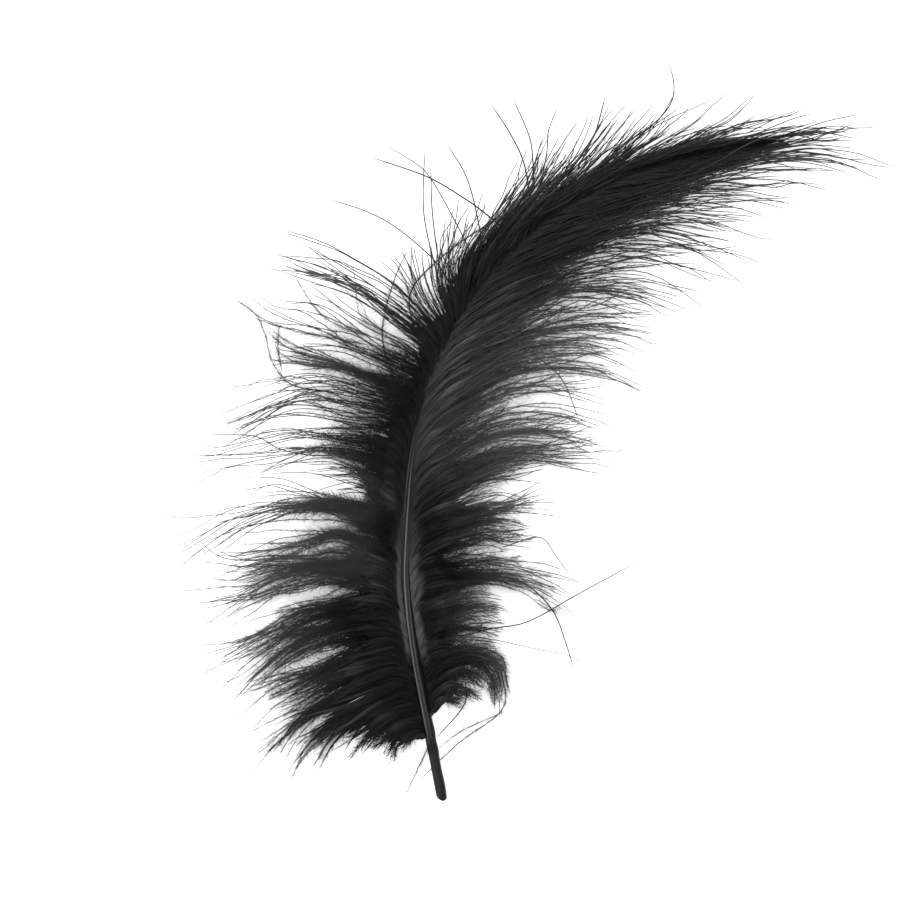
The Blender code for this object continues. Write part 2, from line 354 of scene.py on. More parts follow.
# The locks: (distance of the root from the cut end, points on the way to the tip)
LEFT_LOCKS = [
    (10.2, (-16.3, -48.3), (-17.9, -48.7)),
    (10.6, (-16.6, -47.9), (-18.6, -49)),
    (11.4, (-17.6, -47.2), (-20.2, -49.2), (-21.3, -52.3)),
    (12.4, (-19.5, -46.6), (-23.8, -49.8)),
    (13.4, (-20.5, -45.9), (-26.3, -50.4)),
    (14.4, (-22, -45.3), (-29, -50)),
    (15.2, (-24, -44.8), (-30, -48.8), (-33.3, -54)),
    (16, (-24.5, -44), (-33, -49)),
    (16.8, (-26, -43.4), (-35, -49.3), (-38.5, -54)),
    (17.6, (-26.5, -42.6), (-34, -46.2), (-36.6, -50.2)),
    (18.4, (-28, -41.8), (-36.2, -46.4), (-40, -50), (-43.3, -52.8)),
    (19.3, (-28, -41), (-36.2, -45.8), (-39.6, -49), (-43.3, -52.2)),
    (20.2, (-30, -39.9), (-35, -42.4), (-38.4, -44)),
    (21.1, (-30.5, -38.7), (-36, -41.2), (-40, -42.4)),
    (22.2, (-31, -37.6), (-38.5, -41), (-43.5, -44)),
    (23.4, (-31.5, -36.8), (-39.5, -39.8), (-45.6, -43.5)),
    (24.8, (-29, -33), (-36, -35.5), (-41, -39)),
    (25.8, (-31, -31.8), (-38.5, -34.8), (-44, -39)),
    (26.8, (-31.5, -31.2), (-39.5, -34.8), (-46, -39.6)),
    (27.8, (-32.5, -30.5), (-41, -34.8), (-47.8, -39.6)),
    (28.8, (-33.2, -29.2), (-41.2, -33.8), (-48.8, -38.8)),
    (29.8, (-33.5, -28), (-40.5, -32), (-45, -35), (-50, -38.2)),
    (30.6, (-31.5, -26.8), (-37, -27.6), (-43.5, -28.8)),
    (31.8, (-31, -22.9), (-36, -23.7), (-40, -24.4), (-44, -25.6), (-49, -26.8)),
    (32.8, (-31.5, -21.8), (-36, -22.2), (-40, -23.4), (-44, -25), (-50.2, -26.6)),
    (33.8, (-32, -21), (-37, -21.5), (-41, -22.5), (-45, -24.3), (-50.5, -25)),
    (34.8, (-32, -20.2), (-38, -20.8), (-43, -21.7), (-49, -23.2)),
    (35.8, (-29.5, -18.4), (-34, -19.2), (-40, -19.2), (-44, -19.9), (-47.5, -21)),
    (36.8, (-29, -16.4), (-33, -17.5), (-37, -19.4), (-43, -22.1), (-48, -24.4)),
    (37.6, (-28, -15), (-32, -16.4), (-36.5, -18.8), (-41.5, -21.4), (-46, -23)),
    (38.6, (-27, -16.4), (-31, -15.9), (-38, -16.2), (-46, -18.2)),
    (40.2, (-24.5, -14.4), (-30.5, -12.4), (-38.5, -12.7), (-44, -13.9), (-49, -15.6), (-57.3, -19.4)),
    (41.2, (-24.5, -13.6), (-31, -11.7), (-38, -11.6), (-44, -12.9), (-49, -14.9)),
    (42.2, (-24.8, -13), (-31, -11.2), (-38, -10.9), (-44, -12.2), (-52, -15.6)),
    (
        43.2, (-25, -12.4), (-31, -10.8), (-36, -10.3), (-40, -10.7), (-44, -11.9), (-48, -13.3),
        (-55.3, -16.5),
    ),
    (44, (-25, -11.8), (-30, -10.5), (-35, -10.1), (-39.5, -10.3), (-44.5, -12)),
    (46.4, (-22.8, -9.6), (-26.5, -8), (-30, -7.6)),
    (47.2, (-23.5, -7.6), (-27.5, -5.8), (-32.5, -6)),
    (48, (-25.5, -5.8), (-29, -4.4), (-35.5, -4.6)),
    (49.2, (-29.5, -3.1), (-36, -2.8), (-39, -3.7), (-41.3, -5.2)),
    (50.4, (-30, -2.4), (-36, -2.9), (-40, -3.6), (-46, -4.9), (-54, -7)),
    (51.4, (-30, -1.6), (-36, -2.5), (-40, -3.4), (-44.5, -5)),
    (52.4, (-30.5, -0.4), (-36, 0.5), (-41, 0.2), (-47, -1.2), (-54, -3)),
    (53.4, (-30, 0.4), (-36, 0.9), (-40, 0.4), (-46.5, -1.8)),
    (54.4, (-29.5, 1.1), (-36, 0.9), (-41.5, 1.3)),
    (55.4, (-29.5, 2.6), (-36, 3.6), (-42.5, 2.4), (-47, 0)),
    (56.4, (-29, 3.4), (-35.5, 4.2), (-40, 3.2), (-47.7, 0.8)),
    (57.4, (-28.5, 5.2), (-34, 6.6), (-39.5, 5.6), (-45, 3.6)),
    (58.4, (-28, 6.8), (-34, 7.9), (-40, 6.7), (-44, 5.3), (-49.5, 3.8)),
    (59.4, (-27.5, 7.7), (-33, 8.7), (-36.5, 8.1), (-40, 6.9), (-46.5, 4.6)),
    (60.4, (-26.5, 8.3), (-32, 9.6), (-38.5, 8.2)),
    (61.2, (-26, 8.7), (-31.5, 10.5), (-38, 10.8), (-43, 11)),
    (61.8, (-25.2, 8.9), (-30.2, 10.7), (-37.8, 11.7)),
    (62.2, (-24.9, 9.2), (-30, 11), (-38.6, 12.1)),
    (62.6, (-24.7, 9.5), (-29.8, 11.3), (-39, 12.7)),
    (63.2, (-24.4, 10.2), (-29.5, 11.9), (-38.5, 13.6)),
    (64.2, (-24, 11.8), (-30, 13.8), (-39.5, 13.1)),
    (65.2, (-24, 13.4), (-30.5, 15.6), (-40, 18), (-45.8, 21.5)),
    (66.2, (-23, 14.3), (-29, 16.6), (-35, 18), (-39.8, 17)),
    (67.2, (-22.5, 15.2), (-29, 18.6), (-34.5, 20.3), (-39.6, 21.1)),
    (68.2, (-21.5, 16.2), (-26, 19), (-31, 22.3), (-34.5, 25.3)),
    (69, (-21.5, 19.6), (-27, 23.9), (-32, 26.4), (-36.2, 28.5)),
    (69.6, (-21.2, 19.9), (-27, 24.3), (-32, 26.7), (-37.5, 29.3)),
    (70.2, (-20.8, 20.4), (-26.8, 24.6), (-32, 27), (-38, 30)),
    (70.8, (-20, 20.8), (-25.5, 24.6), (-31.5, 27.4), (-39, 29.9)),
    (71.6, (-19, 21.3), (-24.5, 25.2), (-33.8, 29.9)),
    (72.4, (-17.8, 22), (-22.5, 26), (-29, 30), (-37.5, 32.8)),
    (73.2, (-16.8, 22.5), (-19, 25.8), (-21.3, 28.7)),
    (74.4, (-15.5, 22.5), (-17, 26.5), (-17.8, 30.3)),
    (75.4, (-14.3, 22.6), (-15.2, 26.5), (-15.4, 30)),
    (76, (-13.2, 23.5), (-13.2, 27.5), (-11.6, 32)),
    (76.7, (-12.4, 23.8), (-12.2, 28.5), (-10.2, 33.5)),
    (77.4, (-12, 25), (-11.4, 30.4), (-9, 38)),
    (78.6, (-11, 26.6), (-9.6, 32.2), (-7.2, 38.2)),
    (79.8, (-9, 28), (-5.6, 33.8), (-1.4, 39.8), (0.9, 43.6)),
    (80.6, (-8, 28.1), (-4.6, 33.8), (-0.3, 39.6), (2, 43.6)),
    (81.4, (-7, 28.5), (-3.8, 34.2), (0.4, 40), (3.2, 45.5)),
    (82.5, (-6, 29), (-2.5, 35), (2, 41), (4.5, 47)),
    (83.3, (-5.2, 29.8), (-1.4, 35.6), (3, 41), (5.5, 45.8)),
    (84.2, (-4.5, 30.5), (0, 36.5), (4.2, 41.8), (7.2, 46.8)),
    (85.5, (-3, 32), (2, 38), (6.5, 43), (9, 46.3)),
    (87, (-1, 33), (4, 39), (8.5, 44), (12.5, 49)),
    (88.5, (0.5, 34), (6, 40), (10.5, 44.8), (14.2, 50.5)),
    (90, (2, 35), (8, 41), (13, 46.2), (17, 50.5)),
    (91.5, (4, 36.5), (10, 42), (15.5, 47.3), (19, 50.5)),
    (93, (6, 38), (12.5, 43), (18, 48), (21, 50.8)),
    (95, (8, 39), (15, 44), (20.5, 48.6), (25.5, 51.5)),
    (97, (10, 40), (17.5, 44.8), (23, 49), (27, 52.4)),
    (99, (12, 40.8), (20, 45.6), (25.5, 49.4), (28.5, 51.5)),
    (101.5, (14.5, 42), (22.5, 46), (27.5, 48.6), (31.5, 51.2)),
    (104, (17, 42.8), (25, 46.6), (30, 48.5), (34.5, 51)),
    (107, (20, 43.8), (28, 47.3), (32.5, 49.3), (36.5, 51.8)),
    (110, (23, 45), (31, 48.2), (35.5, 49.9), (38, 51.6)),
    (113, (26, 46), (34, 48.8), (39, 50.6), (41.8, 52.2)),
    (117, (30, 47), (37.5, 49.4), (43, 51), (45.8, 52)),
    (121, (34, 47.3), (41, 49.4), (46.5, 51)),
    (125, (37, 47.3), (44, 49), (50.5, 50.6)),
    (130, (41, 47.6), (48, 49.2), (56.5, 49.8)),
    (135, (44.5, 47.9), (50, 49), (54.5, 48.6)),
    (139, (46, 48), (50.5, 48.4)),
]
RIGHT_LOCKS = [
    (13.8, (-12.8, -42.7), (-10, -43.2)),
    (14.4, (-12.4, -42), (-9.2, -42.2)),
    (15, (-11.6, -41), (-8, -41.6)),
    (15.5, (-11, -40), (-6.8, -41.2)),
    (16.5, (-10.5, -38.6), (-6, -40.7)),
    (17.5, (-9.2, -37.1), (-5.2, -39.4), (-4.7, -42.4)),
    (18.5, (-9, -36.1), (-4.6, -38.3), (-4, -43.6)),
    (19.5, (-8.5, -35.1), (-3.9, -37.1), (-3, -43.2)),
    (20.3, (-8.1, -34.4), (-3.5, -35.5), (-2, -39.9)),
    (21.2, (-8.8, -33.8), (-5, -34.3), (-2.6, -36.6)),
    (22, (-9.8, -33.2), (-6.6, -33.1), (-3.8, -34.2)),
    (22.8, (-10.3, -32.4), (-7.2, -31.9), (-3.6, -32.4)),
    (24, (-11.3, -31.2), (-7.5, -30.6), (-3.2, -31)),
    (25.5, (-10.6, -29.2), (-7, -28.8), (-3.2, -29.4)),
    (27, (-9.5, -27.4), (-6, -27.1), (-2.3, -27.8)),
    (28.5, (-9, -26), (-6, -25.8), (-3.5, -26.4)),
    (30, (-8.5, -24.3), (-5.5, -24.2), (-3.5, -24.4)),
    (31, (-7, -23.3), (-3.5, -22.9), (0.5, -23.9), (3.5, -26.3)),
    (32, (-6, -22.4), (-1.5, -22.3), (3, -22.6), (8.5, -23.8)),
    (33, (-5.5, -21.3), (-1, -21.3), (4, -21.9), (8, -23)),
    (34, (-5.5, -20), (-0.5, -20), (5, -20.8), (9.5, -22.3)),
    (35, (-6, -18.5), (-2, -19.1), (1, -19.6)),
    (36, (-6.5, -16.9), (-3, -17.2), (1, -16.6), (3.5, -15.8)),
    (37, (-7, -15.2), (-3.5, -15.2), (0, -15.1), (2.5, -14.6)),
    (38.5, (-7, -13.7), (-3.5, -13.2), (-1, -13.5)),
    (40, (-7, -12.6), (-3, -11.6), (4.5, -9.6)),
    (41.5, (-7.5, -11.7), (-3, -10.7), (4.7, -9.5)),
    (43, (-8, -9.9), (-4.5, -9.2), (-2.3, -10)),
    (44, (-8.5, -8.3), (-4.5, -6.8), (2.5, -5.3)),
    (45, (-8.5, -6.8), (-3.5, -5), (3.5, -3.8)),
    (46, (-8, -5.6), (-3, -3.6), (3, -2.8), (9.2, -2.9)),
    (47, (-8, -4.6), (-2, -2.4), (5, -2.3), (15, -1.5)),
    (48, (-8, -3.6), (-2, -1.9), (4, -2), (10.5, -1.8)),
    (49, (-8, -2.3), (-2, 0), (4.5, 0.3), (11.3, 0.7)),
    (50, (-7.5, -1.1), (-1.5, 0.9), (5, 1.2), (12, 1)),
    (51, (-7, 0.2), (-1, 2.2), (4.5, 2.8), (9.3, 2.4)),
    (52, (-6.5, 1.4), (-0.5, 3.4), (5.5, 4), (10.5, 3)),
    (53, (-6, 2.6), (0, 4.7), (6.5, 4.7), (13.7, 2.2)),
    (54, (-6, 3.7), (0, 5.2), (6, 5.3), (14, 3.6)),
    (55, (-5.5, 5.2), (0.5, 7.1), (7, 7), (13.5, 5.5)),
    (56, (-5, 6.6), (1, 8.4), (6.5, 8.9), (12, 8.2)),
    (57, (-4.5, 7.8), (1.5, 9.6), (8, 10.2), (14.5, 9.6), (19, 8.3)),
    (58, (-4, 9.2), (2, 11.2), (9, 11.1), (15, 10), (18.5, 8.6)),
    (59, (-3.5, 10.2), (2.5, 12), (9, 12.3), (16, 11.3)),
    (60, (-3, 11.4), (3, 13.2), (10, 13.3), (17, 11.5)),
    (61.2, (-2.5, 12.6), (3.5, 14.4), (10.5, 14.6), (18, 13.2)),
    (62.4, (-2, 13.8), (4, 15.4), (11, 15.9), (17.5, 14.8)),
    (63.6, (-1, 15), (5, 16.8), (12, 17.3), (19, 15.9), (24.5, 14.6)),
    (65, (0, 16.3), (6, 18), (13, 18.5), (20.5, 17.8)),
    (66.5, (1, 17.6), (7, 19.3), (14, 19.5), (21.5, 17.6)),
    (68, (2, 19), (8, 20.6), (15, 21), (21.5, 19.9)),
    (69.5, (3, 20.6), (9, 22.2), (14.5, 22.3), (19, 21.6)),
    (71, (4, 22.4), (10, 24.4), (17, 25), (23.3, 23.4)),
    (72.5, (5, 23.9), (11, 25.4), (18, 26.2), (24.2, 25.6)),
    (74, (6, 24.8), (12, 26.2), (19, 27), (26.5, 26.3)),
    (75.5, (7, 26), (13, 27.5), (20, 28), (28.3, 25.7)),
    (77, (8, 27.3), (14, 28.9), (20, 28.8), (30.5, 26.3)),
    (78.5, (9.5, 28.5), (16, 29.6), (24, 29), (33, 28.7)),
    (80, (11, 29.6), (17.5, 30.5), (25, 30), (33.5, 30.3)),
    (81.5, (12, 30.9), (19, 32.6), (26, 32.5), (36.3, 30.4)),
    (83, (13.5, 32), (20, 33.6), (27, 33.3), (35.5, 32.2)),
    (84.5, (14.5, 33), (21.5, 34.8), (28.5, 34.4), (34.8, 33.4)),
    (86, (16, 34), (23, 35.8), (30, 35.4), (37, 34.9)),
    (87.5, (17.5, 35), (24.5, 36.8), (31.5, 36.5), (38, 36.7)),
    (89, (19, 36), (26, 37.5), (33, 37), (41, 36.9)),
    (91, (20.5, 37.1), (27.5, 39.2), (34.5, 39.6), (39.5, 39.2)),
    (93, (22, 38), (29, 39.9), (36, 40.6), (42, 41), (48.5, 40)),
    (95, (24, 39), (31, 41), (38, 41.6), (45, 41.8)),
    (97.5, (26, 40.2), (33, 42.4), (40, 43.1), (48.7, 43)),
    (100, (28, 41), (35, 42.9), (42, 43.7), (49.5, 43.9)),
    (103, (30, 41.8), (37, 43.7), (44, 44.3), (51, 44)),
    (106, (32, 42.6), (39, 44.1), (46, 44.3), (54.3, 42.8)),
    (109, (34, 43.5), (41, 45.1), (48, 45.4), (57.8, 43.4)),
    (112.5, (36, 44.2), (43, 45.7), (48, 46.1), (52, 45.4)),
    (116, (38, 45), (44, 46.2), (49, 46.4)),
    (120, (40, 45.7), (45, 46.8), (51, 47.6), (57.3, 47.2)),
    (126, (41.5, 46.4), (46, 47.3), (50.5, 47.6)),
    (132, (43.5, 47), (48, 48), (53.5, 48.8)),
    (138, (45.5, 47.6), (49.5, 48.3), (52.5, 48.5)),
]
# Locks take these postures in turn: (height of the tip, how far the middle is arched up)
LOCK_POSTURES = [(0.4, -1.3), (6.0, 1.5), (3.0, 0.8), (7.6, 1.2), (1.2, -0.6), (4.6, 1.5)]
# Barbs leave the shaft at this angle to it, and hold that way for this share of the first span
ROOT_ANGLES = [(10, 62), (30, 44), (60, 30), (100, 20), (150, 12)]
ROOT_HOLD = 0.35
LOCK_STEPS = 48
# The long barbs of a lock take this much of the shaft at most, and the first and the last lock
# reach this far past their roots
WIDEST_LOCK, LOCK_EDGE = 1.4, 0.3
# How many long barbs make a lock, by the distance of its root, and never under two
LEFT_BARBS_A_LOCK = [
    (10, 3.4), (12.4, 4.4), (13.4, 5.6), (14.4, 5.6), (15.2, 3.6), (17, 6), (19, 5.4), (20.2, 4),
    (21, 4.4), (23, 6.2), (24.8, 4.4), (26, 4.6), (30, 6.6), (30.6, 4), (31.8, 5.4), (33, 8.5),
    (34, 9), (36, 6), (37.6, 3.8), (38.6, 2), (40.2, 3), (42, 4), (44, 4.4), (46.4, 5), (48, 6.4),
    (50, 4.4), (51.4, 3), (53, 3.2), (55, 2.4), (57, 2.8), (58.4, 9), (59.4, 9), (60.4, 2.2),
    (61.5, 4.4), (63, 4), (64.2, 2.8), (66, 2), (67.2, 2.4), (68.2, 3.4), (69, 4.8), (70.2, 4.4),
    (70.8, 2.2), (72, 2), (74.4, 3), (75.4, 6), (77.4, 6), (78.6, 5.4), (80, 8), (83, 8.5), (85, 6),
    (90, 4.8), (94, 4.4), (101, 4), (104, 9), (107, 8), (110, 5.4), (113, 8), (117, 7), (121, 3),
    (125, 2.2), (140, 2),
]
RIGHT_BARBS_A_LOCK = [
    (10, 3), (14.4, 4), (16.5, 6.5), (20, 4.4), (22.8, 2.2), (24, 5), (27, 6), (30, 4.4), (32, 2.6),
    (34, 3.4), (35.5, 4.8), (37, 7.5), (38.5, 7.5), (41, 3.4), (43, 8), (45, 9), (48, 4.8),
    (51, 4.4), (54, 2.6), (56, 4.2), (57.5, 6.4), (59.6, 3.6), (60.6, 3.8), (62, 6.2), (64, 5.4),
    (66, 5.8), (69, 6.2), (71, 6.2), (72.5, 8.5), (74, 8), (75.5, 4.6), (77, 4), (78.5, 4.8),
    (80, 6.4), (81.5, 9), (84, 10), (86, 8), (87.5, 5), (89, 4.4), (91, 7), (95, 3.4), (98, 5),
    (103, 7), (107, 5.4), (112, 3.4), (118, 2.4), (125, 2), (140, 2),
]
# The vane has come apart at these distances along the shaft
LEFT_TEARS = (24.1, 30.2, 31.2, 39.4, 45.2, 64.7, 67.7, 72.8)
RIGHT_TEARS = (23.4, 34.5, 80.7)
# Short, matted and broad barbs fill the vane by the shaft, rooted this far apart
SHORT_BARB_GAP = [(10, 0.2), (36, 0.24), (90, 0.22), (120, 0.26), (140, 0.45)]
MAT_GAP = [(10, 0.25), (30, 0.3), (90, 0.3), (118, 0.42), (140, 0.9)]
UNDERLAY_GAP = [(10, 0.42), (60, 0.5), (110, 0.6), (140, 0.9)]
# These gaps are added up along the shaft in this many steps
GAP_STEPS = 600
# How far out the short barbs (full) and the matted ones reach, as a share of a lock
LEFT_FULL = [
    (10, 0.95), (14, 0.84), (18, 0.78), (21, 0.84), (23, 0.72), (24.5, 0.54), (26, 0.64), (29, 0.6),
    (30.6, 0.44), (31.8, 0.42), (33, 0.54), (36, 0.4), (37.5, 0.25), (38.6, 0.2), (41, 0.19),
    (44, 0.22), (46.4, 0.8), (47.2, 0.66), (48, 0.58), (50, 0.38), (53, 0.37), (57, 0.32),
    (60, 0.23), (62, 0.32), (64, 0.24), (67.5, 0.3), (69.5, 0.36), (72, 0.36), (74, 0.44),
    (76, 0.46), (78.6, 0.37), (80, 0.56), (86, 0.66), (92, 0.7), (98, 0.66), (106, 0.58),
    (115, 0.5), (125, 0.38), (140, 0.26),
]
RIGHT_FULL = [
    (10, 0.7), (14, 0.9), (18, 0.76), (23, 0.5), (27, 0.74), (30, 0.76), (33, 0.46), (35, 0.6),
    (36, 0.66), (37, 0.8), (38, 0.84), (42, 0.72), (44, 0.72), (47, 0.56), (50, 0.46), (54, 0.43),
    (57, 0.5), (60, 0.54), (68, 0.5), (71, 0.58), (73, 0.66), (76, 0.56), (79, 0.5), (84, 0.64),
    (88, 0.58), (91, 0.6), (95, 0.5), (105, 0.42), (115, 0.4), (140, 0.28),
]
LEFT_MATTED = [
    (10, 0.95), (18, 0.78), (21, 0.82), (23, 0.68), (24.5, 0.46), (26, 0.52), (29, 0.5),
    (30.6, 0.4), (31.8, 0.35), (33, 0.42), (36, 0.32), (38, 0.15), (41, 0.13), (44, 0.16),
    (46.4, 0.6), (47.2, 0.56), (48, 0.46), (50, 0.29), (53, 0.3), (57, 0.26), (60, 0.17),
    (62, 0.25), (64, 0.19), (67.5, 0.2), (69.5, 0.29), (72, 0.28), (74, 0.36), (76, 0.36),
    (80, 0.44), (86, 0.58), (92, 0.65), (98, 0.62), (106, 0.53), (115, 0.44), (125, 0.33),
    (140, 0.18),
]
RIGHT_MATTED = [
    (10, 0.6), (14, 0.85), (18, 0.66), (23, 0.45), (27, 0.68), (30, 0.7), (33, 0.4), (35, 0.42),
    (36, 0.5), (38, 0.76), (42, 0.64), (45, 0.64), (47, 0.44), (50, 0.32), (54, 0.3), (57, 0.36),
    (60, 0.4), (66, 0.36), (70, 0.4), (73, 0.5), (79, 0.43), (84, 0.56), (88, 0.5), (91, 0.52),
    (95, 0.43), (105, 0.36), (115, 0.33), (140, 0.17),
]
# Single barbs are this much shorter or longer, and the short and matted ones at most this long
LONG_SHARES, SHORT_SHARES, MAT_SHARES = (0.85, 1.06), (0.8, 1.45), (0.8, 1.2)
LONGEST_SHORT, LONGEST_MAT = 1.02, 1.0
LONG_STEPS, SHORT_STEPS, MAT_STEPS = 20, 12, 12
# Radii by the share of a barb from its root, and how much wider by the root's distance
BARB_RADII = [(0, 0.09), (0.15, 0.08), (0.5, 0.076), (0.8, 0.074), (0.95, 0.062), (1, 0.02)]
BARB_WIDTHS = [(10, 0.85), (30, 0.95), (60, 1.05), (75, 1.2), (95, 1.3), (140, 1.3)]
SHORT_BARB_RADII = [(0, 0.12), (0.3, 0.1), (0.6, 0.075), (0.8, 0.055), (1, 0.015)]
MAT_RADII = [(0, 0.12), (0.12, 0.3), (0.45, 0.32), (0.7, 0.2), (0.88, 0.08), (1, 0.02)]
MAT_WIDTHS = [(10, 1.2), (60, 1), (90, 0.9), (115, 0.6), (140, 0.35)]
# The broad ones close the vane under the matted ones: their radii, their length as a share of
# those, and how freely they bend
UNDERLAY_RADII = [(0, 0.25), (0.15, 0.7), (0.7, 0.65), (0.9, 0.3), (1, 0.04)]
UNDERLAY_SHARE, UNDERLAY_FREEDOM = 0.85, 0.15
# Both are blades. Matted ones are this flat, broad ones half that. They lie so much lower than the
# others, and no lower than the last height
MAT_FLATNESS, MAT_DROP, UNDERLAY_DROP, LOWEST_MAT = 0.2, 0.4, 0.8, 0.15
# How closely barbs cling to their lock, and between which shares of their length they turn to it
CLINGING, CLINGING_VARIES = (0.1, 0.9), 0.1
CLINGING_RUN, TORN_RUN = (0.3, 0.8), (0.28, 0.65)
# How far past a lock's tip, and past the first and the last lock, a barb can be, as shares
PAST_TIP, PAST_LOCKS = 0.15, 0.4
# The vane closes over the shaft along this stretch. In radii of the rod, a root sits this far to
# the side, up to so much farther across where the vane has closed, this high, and so much higher
CLOSING = (56, 68)
ROOT_ASIDE, ROOT_ACROSS, ROOT_UP, ROOT_HIGHER = 0.75, 1.7, 0.35, 1.1
# A barb bends in a slow and a quick wave, this long, which grow from the root over this stretch
SLOW_WAVE, QUICK_WAVE, WAVES_GROW = (14, 26), (5, 9), (0, 8)
# Its usual drift, as a share of its length, and the usual height of its waves, aside and upwards
DRIFT_ASIDE, SLOW_ASIDE, QUICK_ASIDE = 0.08, 0.42, 0.1
DRIFT_UP, SLOW_UP = 0.03, 0.3
# The drift aside grows with this power of the share from the root
DRIFT_POWER = 1.7
# Part of these is its own and part is shared by this many neighbours
OWN_WAY, SHARED_WAY, NEIGHBOURS = 0.6, 0.8, 5
# It presses on the sheet at this height, softly: the higher the second number, the harder
LOWEST, HARDNESS = 0.1, 4
# How far out the fluff goes, as a share of a lock, by the root's distance, and at most of a barb
LEFT_DOWNY = [
    (10, 0.97), (24, 0.93), (30, 0.82), (36, 0.8), (40, 0.6), (50, 0.56), (60, 0.6), (62, 0.9),
    (65, 0.62), (80, 0.74), (95, 0.66), (120, 0.5),
]
RIGHT_DOWNY = [
    (10, 0.97), (24, 0.93), (36, 0.86), (60, 0.88), (72, 0.84), (80, 0.74), (95, 0.66), (120, 0.5),
]
MOST_DOWNY = 0.97
# How thick the fluff stands, by the root's distance
LEFT_FLUFF = [(10, 1), (48, 1), (52, 0.5), (60, 0.5), (62, 0.7), (66, 0.6), (72, 0.8), (76, 1)]
RIGHT_FLUFF = [(10, 1), (140, 1)]
# Its length, how much shorter it is at the end of the downy part, how much it varies, and how
# many degrees it rolls out of the vane
FLUFF_LENGTHS = [(10, 3.2), (60, 3.2), (80, 2.8), (100, 2.0), (130, 1.2)]
FLUFF_SHORTENS, FLUFF_VARIES, FLUFF_ROLL = 0.55, (-0.05, 0.35), 38
# Past that end it goes on getting shorter, up to this share of the downy part
SHORTENS_UP_TO = 1.2
FLUFF_RADIUS, FLUFF_LOWEST = 0.018, 0.04
# The foot of a hair is so many radii high, and a hair has so many triangles
FOOT_HEIGHT, HAIR_TRIANGLES = 1.2, 4
# A beta distribution sets the hairs along a barb, a little closer near its root
FLUFF_PLACES = (1.0, 1.2)
# This share of it lies close along its barb, to this near the tip, and the rest stands off,
# leaning so many degrees
CLOSE_FLUFF, CLOSE_TO, CLOSE_LEANS, WIDE_LEANS = 0.3, 0.98, (4, 22), (20, 70)
# By the shaft, where the mats are, there is none, up to this share of their length
FLUFF_HIDDEN = 0.6
# A strand's strip takes this share of its row in the chart. Its end faces and a hair of fluff are
# this long there
STRIP, END_STRIP, HAIR_STRIP = 0.8, 0.002, 0.02
# The down of a side is three pieces, by the distances of the roots
ZONES = {"base": (0, 36), "middle": (36, 68), "top": (68, 150)}
MOST_TRIANGLES = {
    "left": {"base": 180_000, "middle": 185_000, "top": 115_000},
    "right": {"base": 105_000, "middle": 180_000, "top": 155_000},
}

# What differs from barb to barb is drawn from this in a fixed order, so each run grows the same
chance = np.random.default_rng(7)


def ease(low, high, value):
    """A smooth rise from 0 to 1 between low and high."""
    t = np.clip((value - low) / (high - low), 0, 1)
    return t * t * (3 - 2 * t)


def smooth_steps(points, shares):
    """x and y along a smooth curve through the points, at these shares of its length."""
    line = smooth_line(points)
    passed = travelled(line)
    return [np.interp(shares * passed[-1], passed, line[:, axis]) for axis in (0, 1)]


def lengths_of(paths):
    """How long each path is."""
    return np.linalg.norm(np.diff(paths, axis=1), axis=2).sum(axis=1)


def lock_lines(locks, side):
    """Each lock's middle line as even steps: it leaves the shaft at an acute angle and passes
    its points to the tip. side is 1 on the left and -1 on the right."""
    roots = np.array([lock[0] for lock in locks])
    lines = []
    for number, (root, *points) in enumerate(locks):
        tip_height, arch = LOCK_POSTURES[number % len(LOCK_POSTURES)]
        start = on_shaft(root)
        along, left, up = shaft_axes(root)
        turn = math.radians(at(ROOT_ANGLES, root))
        hold = ROOT_HOLD * np.linalg.norm(np.array(points[0]) - start[:2])
        away = start + (math.cos(turn) * along + math.sin(turn) * side * left) * hold
        u = np.linspace(0, 1, LOCK_STEPS)
        x, y = smooth_steps([start[:2], away[:2], *points], u)
        z = start[2] + (tip_height - start[2]) * u + arch * 4 * u * (1 - u)
        lines.append(np.stack([x, y, z], axis=-1))
    return roots, np.array(lines)


def along_lines(lines, lock, run):
    """Points on the given locks' lines at these shares of their length."""
    spot = np.clip(run, 0, 1 + PAST_TIP) * (LOCK_STEPS - 1)
    step = np.minimum(spot.astype(int), LOCK_STEPS - 2)
    near, far = lines[lock[:, None], step], lines[lock[:, None], step + 1]
    return near + (far - near) * (spot - step)[..., None]


